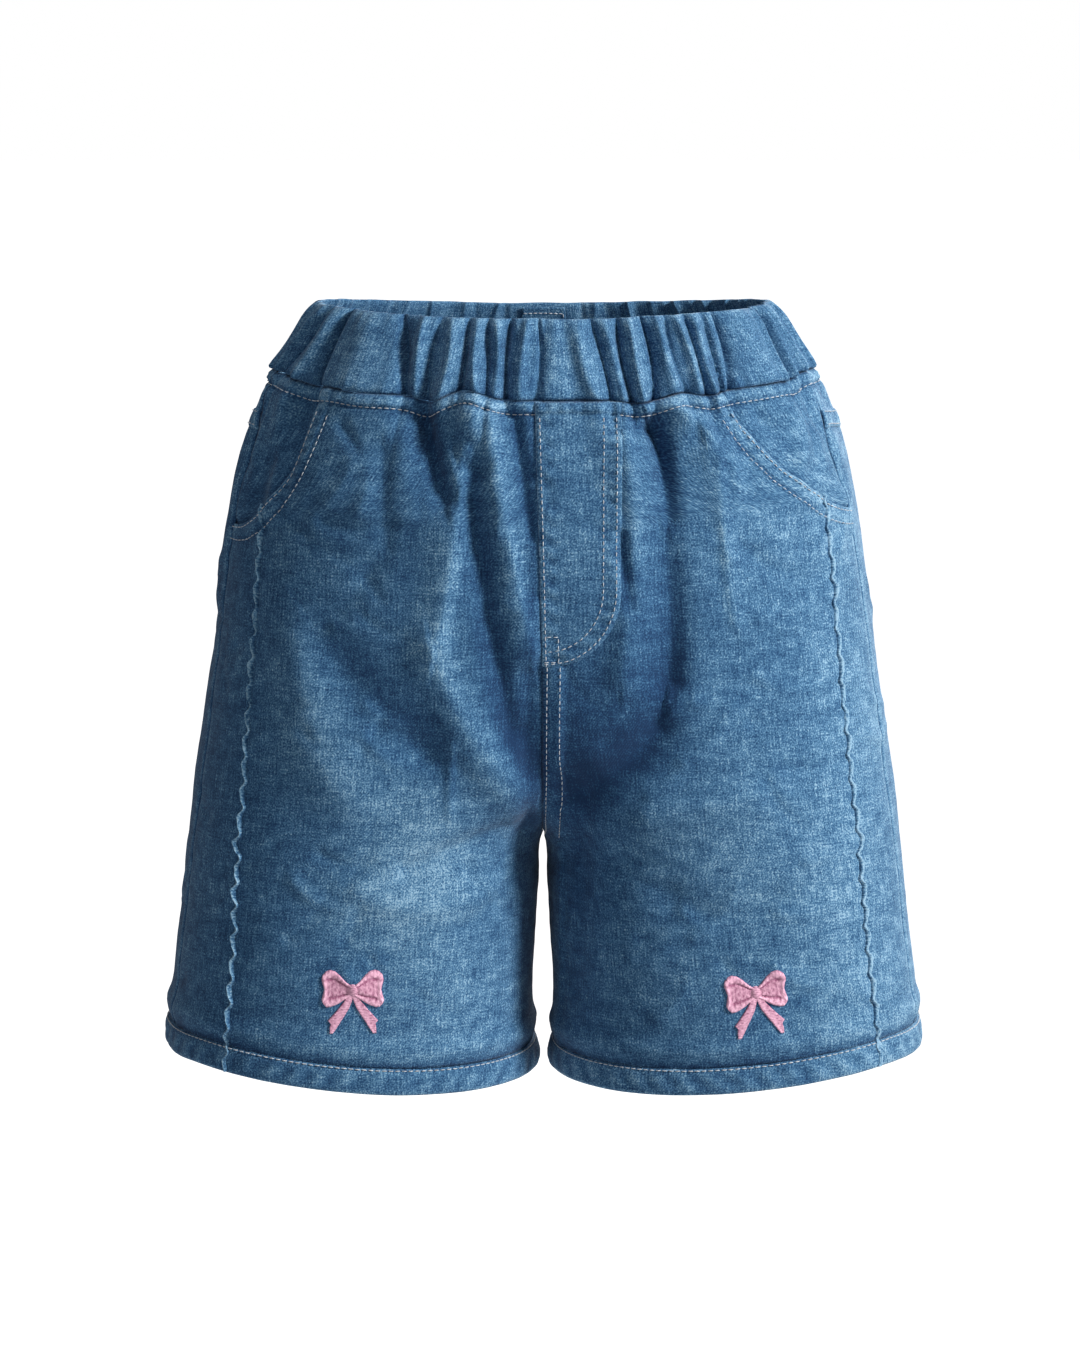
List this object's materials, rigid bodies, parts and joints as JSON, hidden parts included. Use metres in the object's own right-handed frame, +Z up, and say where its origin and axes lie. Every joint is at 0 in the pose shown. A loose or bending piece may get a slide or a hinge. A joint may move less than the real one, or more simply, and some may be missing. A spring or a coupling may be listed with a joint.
{
  "type": "children's denim shorts",
  "caption": "Pull-on denim shorts for a child, with a gathered elastic waistband, mock fly, curved front pockets, ruffled front seams and an embroidered bow on each leg.",
  "frame": {"origin": "the middle of the waist opening, half way up the waistband at the centre front", "axes": "+Z up, +X the wearer's left, -Y the front"},
  "size_m": [0.3844, 0.2134, 0.386],
  "materials": {
    "denim": "washed mid-blue cotton denim twill",
    "denim_faded": "the same denim, worn paler on ridges and edges",
    "denim_deep": "the same denim, darker where it is shaded from wear",
    "pink_thread": "pink satin-stitch embroidery thread"
  },
  "bodies": {
    "root": {"front_panel_right": "denim", "front_panel_left": "denim", "front_side_panel_right": "denim", "front_side_panel_left": "denim", "pocket_hip_piece_right": "denim_deep", "pocket_hip_piece_left": "denim_deep", "pocket_edge_right": "denim_faded", "pocket_edge_left": "denim_faded", "back_yoke_right": "denim", "back_yoke_left": "denim", "back_panel_right": "denim", "back_panel_left": "denim", "hem_right": "denim", "hem_left": "denim", "waistband": "denim_faded", "elastic_tack_patch": "denim_deep", "mock_fly": "denim", "ruffled_seam_right": "denim_faded", "ruffled_seam_left": "denim_faded", "embroidered_bow_right": "pink_thread", "embroidered_bow_left": "pink_thread"}
  },
  "joints": []
}
